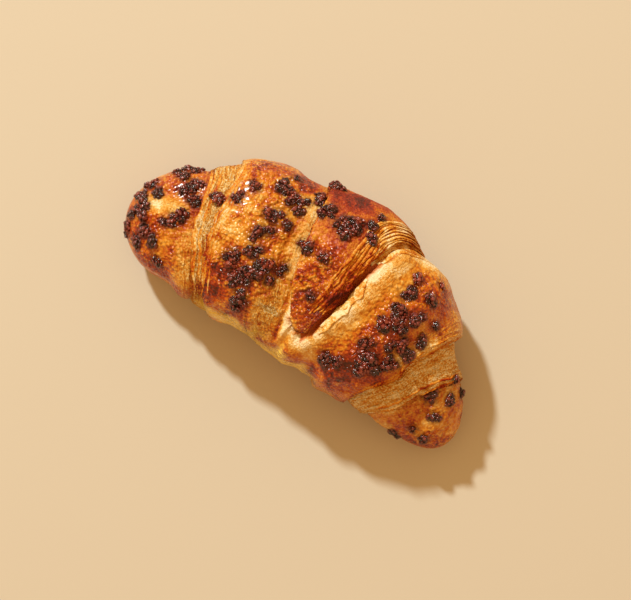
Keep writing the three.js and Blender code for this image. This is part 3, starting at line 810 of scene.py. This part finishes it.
KNOBS = (0.75, 1.15)
GOLDEN_TURN = 2.39996
DROP_HEIGHT = 200.0
PULL_IN = 0.98


def chance(n):
    """A steady number from -1 to 1 for each n."""
    s = math.sin(n * 12.9898) * 43758.5453
    return 2 * (s - math.floor(s)) - 1


crust_tree = BVHTree.FromPolygons(
    [tuple(p) for p in baked["point"]], [tuple(face.vertices) for face in crust_mesh.polygons]
)
lying = []
for x, y, count, length, breadth, tilt in HEAPS:
    for k in range(count):
        reach = 0 if count == 1 else math.sqrt((k + 0.5) / count) / 2
        swing = GOLDEN_TURN * k + tilt
        place = Vector((length * reach * math.cos(swing), breadth * reach * math.sin(swing)))
        place.rotate(Matrix.Rotation(math.radians(tilt), 2))
        place += Vector((x, y))
        hit = None
        while hit is None:
            hit, normal, *_ = crust_tree.ray_cast(Vector((*place, DROP_HEIGHT)), Vector((0, 0, -1)))
            place *= 1 if hit else PULL_IN
        lying.append((hit, normal))


def lumpy(point, waves, kind):
    """How much larger a nugget of that kind is at that point."""
    return 1 + CORE_SPREAD * noise.noise(point * waves + Vector((7.0 * kind, 0, 0)))


# A few kinds of nugget, each a lumpy core that is covered with beads of crystallised chocolate
kinds = []
for kind in range(NUGGET_KINDS):
    lump = bmesh.new()
    for vert in bmesh.ops.create_icosphere(lump, subdivisions=3, radius=CORE)["verts"]:
        vert.co *= lumpy(vert.co, CORE_WAVES, kind)
    for k in range(BEADS):
        up = 1 - BEADS_DOWN * (k + 0.5) / BEADS + 0.1 * chance(kind + 9 * k)
        swing = GOLDEN_TURN * k + 0.5 * chance(5 * kind + k)
        level = math.sqrt(max(1 - up * up, 0))
        out = Vector((math.cos(swing) * level, math.sin(swing) * level, up))
        bead = BEAD_SIZE * (1 + BEAD_SPREAD * chance(3 * kind + k + 0.2))
        away = BEADS_AT * lumpy(out, BEADS_WAVES, kind) + BEADS_APART * chance(kind + k + 0.6)
        bmesh.ops.create_icosphere(lump, subdivisions=1, radius=bead, matrix=Matrix.Translation(out * away))
    mesh = bpy.data.meshes.new("nugget")
    lump.to_mesh(mesh)
    lump.free()
    # Painted light and shade: how far out each vertex lies, so paler on the beads' tops and darker between
    # them
    knobs = np.array([vert.co.length for vert in mesh.vertices])
    give(mesh, "bead_light_and_shade", np.clip((knobs - KNOBS[0]) / (KNOBS[1] - KNOBS[0]), 0, 1))
    kinds.append(mesh)

heap = bmesh.new()
for n, (hit, normal) in enumerate(lying):
    size = NUGGET_RADIUS * (1 + NUGGET_SPREAD * chance(n))
    stance = normal.to_track_quat("Z", "Y").to_matrix().to_4x4()
    squash = Matrix.Diagonal((*[size * s * (1 + SQUASH_SPREAD * chance(n + s)) for s in NUGGET_SQUASH], 1))
    spin = Matrix.Rotation(math.pi * chance(n + 0.5), 4, "Z")
    spin = spin @ Matrix.Rotation(NUGGET_TILT * chance(n + 0.3), 4, "X")
    middle = Matrix.Translation(hit - normal * NUGGET_SUNK * size)
    mesh = kinds[n % NUGGET_KINDS].copy()
    mesh.transform(Matrix.Scale(MM, 4) @ middle @ stance @ spin @ squash)
    give(mesh, "melt", np.full(len(mesh.vertices), 0.5 + 0.5 * chance(n + 0.7)))
    heap.from_mesh(mesh)
    bpy.data.meshes.remove(mesh)
nugget_mesh = bpy.data.meshes.new("nuggets")
heap.to_mesh(nugget_mesh)
heap.free()
nugget_mesh.shade_smooth()
nuggets = bpy.data.objects.new("nuggets", nugget_mesh)
bpy.context.collection.objects.link(nuggets)
for mesh in kinds:
    bpy.data.meshes.remove(mesh)

# The stain round each nugget, on the crust
STAIN_REACH = 1.1
nearest_nugget = kdtree.KDTree(len(lying))
for n, (hit, normal) in enumerate(lying):
    nearest_nugget.insert(hit, n)
nearest_nugget.balance()
away = np.array([nearest_nugget.find(p)[2] for p in baked["point"].tolist()])
give(crust_mesh, "halo", past(away, NUGGET_RADIUS, STAIN_REACH))

# Most nuggets are dark and some are redder, with a satin, crumbly skin. Painted light and shade:
# each is paler on its outer beads and darker deep between them, and the palest stops stand in
# for the sheen on the beads.
DARK_TONES = [(0.0, tone(24, 3, 2)), (0.5, tone(76, 14, 11)), (1.0, tone(158, 66, 56))]
RED_TONES = [(0.0, tone(52, 8, 3)), (0.5, tone(124, 30, 14)), (1.0, tone(178, 82, 52))]
CRUMB_RELIEF = 0.0007
chocolate, tree = new_paint("baked_chocolate")
place = add(tree, "TexCoord").outputs["Object"]
speckle = mottle(tree, place, scale=1300, detail=3, rough=0.6)
# Painted light and shade: paler on the outer beads, darker between them
painted_shading = more(tree, more(tree, -0.3, reading(tree, "bead_light_and_shade"), 0.75), speckle, 0.6)
reddish = stretch(tree, reading(tree, "melt"), gain=2.5, base=-1.6)
crumbs = less(tree, times(tree, speckle, 0.5), cells(tree, place, scale=820.0))
cover(
    nugget_mesh,
    chocolate,
    {
        "Base Color": blend(tree, reddish, ramp(tree, painted_shading, DARK_TONES), ramp(tree, painted_shading, RED_TONES)),
        "Roughness": more(tree, 0.1, speckle, 0.2), "Normal": relief(tree, crumbs, CRUMB_RELIEF),
        "Specular IOR Level": 0.85,
    },
)
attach(nuggets, "root")

# The stage: a plain pale floor, one key light from the upper left and a soft warm fill
FLOOR_SIZE = 3.0
floor_bmesh = bmesh.new()
bmesh.ops.create_grid(floor_bmesh, x_segments=1, y_segments=1, size=FLOOR_SIZE / 2)
floor_mesh = bpy.data.meshes.new("floor")
floor_bmesh.to_mesh(floor_mesh)
floor_bmesh.free()
floor = bpy.data.objects.new("floor", floor_mesh)
bpy.context.collection.objects.link(floor)
floor_paint, tree = new_paint("pale_floor")
cover(floor_mesh, floor_paint, {"Base Color": tone(205, 198, 181), "Roughness": 0.8})

# The picture is turned: its right-hand way and its up way, in the part's frame
PICTURE_TURN = math.radians(34.4)
picture_right = Vector((math.cos(PICTURE_TURN), math.sin(PICTURE_TURN), 0))
picture_up = Vector((-math.sin(PICTURE_TURN), math.cos(PICTURE_TURN), 0))
LOOK_AT = Vector((0.0034, -0.0086, 0.018))
ELEVATION = math.radians(89)
FRAME_WIDTH, LENS, SENSOR = 0.2629, 135.0, 36.0
camera_data = bpy.data.cameras.new("camera")
camera_data.lens, camera_data.sensor_width = LENS, SENSOR
camera = bpy.data.objects.new("camera", camera_data)
bpy.context.collection.objects.link(camera)
back = Vector((0, 0, math.sin(ELEVATION))) - picture_up * math.cos(ELEVATION)
stand = Matrix((picture_right, back.cross(picture_right), back)).transposed().to_4x4()
camera.matrix_world = Matrix.Translation(LOOK_AT + back * FRAME_WIDTH * LENS / SENSOR) @ stand
bpy.context.scene.camera = camera

KEY_HEIGHT, KEY_UP, KEY_LEFT = math.radians(37), 0.89, 0.45
KEY_AWAY, KEY_SIZE, KEY_POWER = 3.2, 0.22, 104.0
key_data = bpy.data.lights.new("key", "AREA")
key_data.shape, key_data.size, key_data.energy = "DISK", KEY_SIZE, KEY_POWER
key_data.color = (0.95, 1.0, 0.95)
key = bpy.data.objects.new("key", key_data)
bpy.context.collection.objects.link(key)
to_key = (picture_up * KEY_UP - picture_right * KEY_LEFT).normalized() * math.cos(KEY_HEIGHT)
to_key.z = math.sin(KEY_HEIGHT)
key.location = LOOK_AT + to_key * KEY_AWAY
key.rotation_mode = "QUATERNION"
key.rotation_quaternion = to_key.to_track_quat("Z", "Y")

FILL_COLOUR, FILL_STRENGTH = (1.0, 0.58, 0.24, 1), 0.74
world = bpy.data.worlds.new("studio")
world.use_nodes = True
world.node_tree.nodes["Background"].inputs["Color"].default_value = FILL_COLOUR
world.node_tree.nodes["Background"].inputs["Strength"].default_value = FILL_STRENGTH
bpy.context.scene.world = world
bpy.context.scene.view_settings.view_transform = "Standard"
